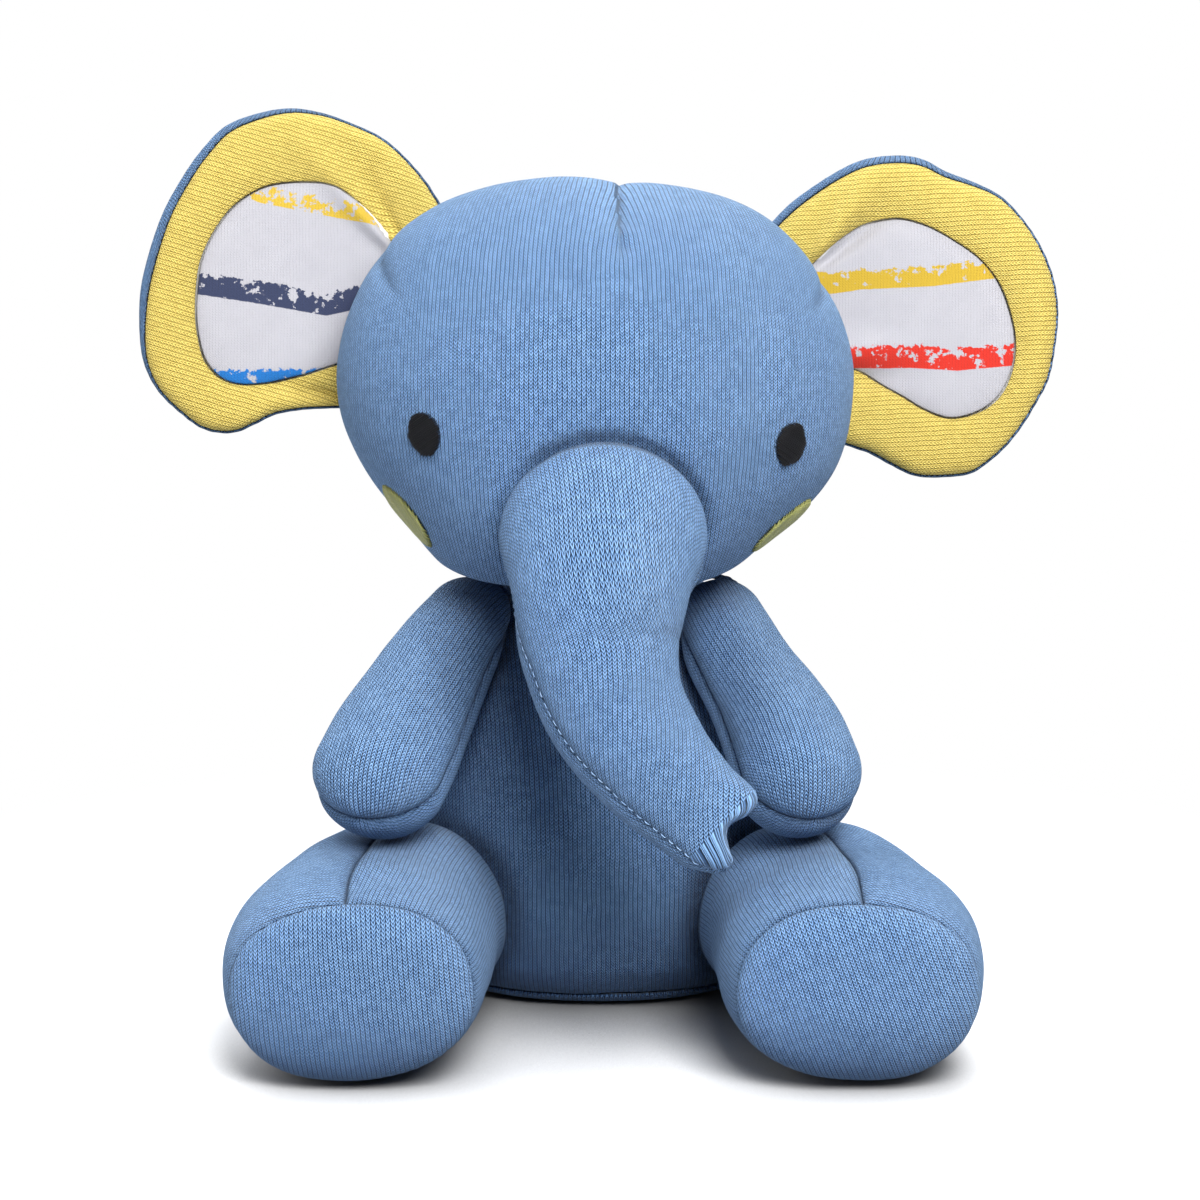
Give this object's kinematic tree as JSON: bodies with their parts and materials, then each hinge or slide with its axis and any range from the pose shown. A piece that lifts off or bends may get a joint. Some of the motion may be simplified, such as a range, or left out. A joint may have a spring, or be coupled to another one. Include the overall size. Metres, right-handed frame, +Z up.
{
  "type": "stuffed elephant toy",
  "caption": "Sitting stuffed elephant in blue knit fabric, with a hanging trunk, round ears lined in yellow and striped white, and soft limbs that swing at their seams.",
  "frame": {"origin": "on the floor under the middle of the seat", "axes": "+Z up, the face and feet point to -Y, +X is the toy's own left"},
  "size_m": [0.2189, 0.1703, 0.2103],
  "materials": {
    "blue_knit": "heathered blue cotton jersey, matt with a soft fuzz sheen",
    "yellow_knit": "plain yellow cotton jersey, matt",
    "white_print": "white interlock knit printed with broken coloured stripes",
    "black_thread": "black satin stitch embroidery",
    "cheek_thread": "pale yellow-green embroidery thread",
    "seam_tape": "doubled seam allowance of the blue jersey, overlocked",
    "filling": "white polyester fibre filling"
  },
  "bodies": {
    "torso": {"torso_front_panel": "blue_knit", "torso_back_left_panel": "blue_knit", "torso_back_right_panel": "blue_knit", "torso_base_panel": "blue_knit", "torso_stuffing": "filling"},
    "neck": {"neck_seam_ring": "seam_tape"},
    "head": {"head_front_panel": "blue_knit", "head_back_panel": "blue_knit", "head_stuffing": "filling", "right_eye_embroidery": "black_thread", "left_eye_embroidery": "black_thread", "right_cheek_embroidery": "cheek_thread", "left_cheek_embroidery": "cheek_thread"},
    "trunk_root": {"trunk_seam_ring": "seam_tape"},
    "trunk": {"trunk_front_panel": "blue_knit", "trunk_under_panel": "blue_knit", "trunk_stuffing": "filling"},
    "tail": {"tail_cover": "blue_knit", "tail_stuffing": "filling"},
    "right_ear": {"right_ear_back_panel": "blue_knit", "right_ear_wadding": "filling", "right_ear_border_panel": "yellow_knit", "right_ear_inset_panel": "white_print"},
    "right_shoulder": {"right_arm_seam_ring": "seam_tape"},
    "right_arm": {"right_arm_front_panel": "blue_knit", "right_arm_back_panel": "blue_knit", "right_arm_stuffing": "filling"},
    "right_hip": {"right_leg_seam_ring": "seam_tape"},
    "right_leg": {"right_leg_outer_panel": "blue_knit", "right_leg_inner_panel": "blue_knit", "right_sole_panel": "blue_knit", "right_leg_stuffing": "filling"},
    "left_ear": {"left_ear_back_panel": "blue_knit", "left_ear_wadding": "filling", "left_ear_border_panel": "yellow_knit", "left_ear_inset_panel": "white_print"},
    "left_shoulder": {"left_arm_seam_ring": "seam_tape"},
    "left_arm": {"left_arm_front_panel": "blue_knit", "left_arm_back_panel": "blue_knit", "left_arm_stuffing": "filling"},
    "left_hip": {"left_leg_seam_ring": "seam_tape"},
    "left_leg": {"left_leg_outer_panel": "blue_knit", "left_leg_inner_panel": "blue_knit", "left_sole_panel": "blue_knit", "left_leg_stuffing": "filling"}
  },
  "joints": [
    {"name": "head_nod", "type": "hinge", "parent": "torso", "child": "neck", "pos_m": [-0.002, 0.003, 0.0994], "axis": [1, 0, 0], "range_deg": [-16, 9]},
    {"name": "head_turn", "type": "hinge", "parent": "neck", "child": "head", "pos_m": [-0.002, 0.003, 0.0994], "axis": [0, 0, 1], "range_deg": [-28, 4]},
    {"name": "trunk_lift", "type": "hinge", "parent": "head", "child": "trunk_root", "pos_m": [0.0003, -0.04, 0.1214], "axis": [-1, 0, 0], "range_deg": [-2, 26]},
    {"name": "trunk_sway", "type": "hinge", "parent": "trunk_root", "child": "trunk", "pos_m": [0.0003, -0.04, 0.1214], "axis": [0, 0, 1], "range_deg": [-20, 4]},
    {"name": "right_ear_flap", "type": "hinge", "parent": "head", "child": "right_ear", "pos_m": [-0.055, 0.00519, 0.16669], "axis": [0.448, 0.1706, 0.8776], "range_deg": [-22, 30]},
    {"name": "left_ear_flap", "type": "hinge", "parent": "head", "child": "left_ear", "pos_m": [0.0558, 0.00381, 0.15963], "axis": [0.3125, -0.1813, -0.9325], "range_deg": [-22, 30]},
    {"name": "right_arm_raise", "type": "hinge", "parent": "torso", "child": "right_shoulder", "pos_m": [-0.031, -0.0145, 0.0905], "axis": [-1, 0, 0], "range_deg": [0, 32]},
    {"name": "right_arm_spread", "type": "hinge", "parent": "right_shoulder", "child": "right_arm", "pos_m": [-0.031, -0.0145, 0.0905], "axis": [0, 0, -1], "range_deg": [-2, 32]},
    {"name": "right_leg_lift", "type": "hinge", "parent": "torso", "child": "right_hip", "pos_m": [-0.0385, -0.024, 0.0235], "axis": [-1, 0, 0], "range_deg": [-30, 2]},
    {"name": "right_leg_spread", "type": "hinge", "parent": "right_hip", "child": "right_leg", "pos_m": [-0.0385, -0.024, 0.0235], "axis": [0, 0, -1], "range_deg": [-4, 30]},
    {"name": "left_arm_raise", "type": "hinge", "parent": "torso", "child": "left_shoulder", "pos_m": [0.0284, -0.0145, 0.0905], "axis": [-1, 0, 0], "range_deg": [0, 32]},
    {"name": "left_arm_spread", "type": "hinge", "parent": "left_shoulder", "child": "left_arm", "pos_m": [0.0284, -0.0145, 0.0905], "axis": [0, 0, 1], "range_deg": [-2, 32]},
    {"name": "left_leg_lift", "type": "hinge", "parent": "torso", "child": "left_hip", "pos_m": [0.04, -0.024, 0.0235], "axis": [-1, 0, 0], "range_deg": [-30, 2]},
    {"name": "left_leg_spread", "type": "hinge", "parent": "left_hip", "child": "left_leg", "pos_m": [0.04, -0.024, 0.0235], "axis": [0, 0, 1], "range_deg": [-4, 30]},
    {"name": "tail_swing", "type": "hinge", "parent": "torso", "child": "tail", "pos_m": [0, 0.049, 0.02], "axis": [0, 0, 1], "range_deg": [-28, 28]}
  ]
}
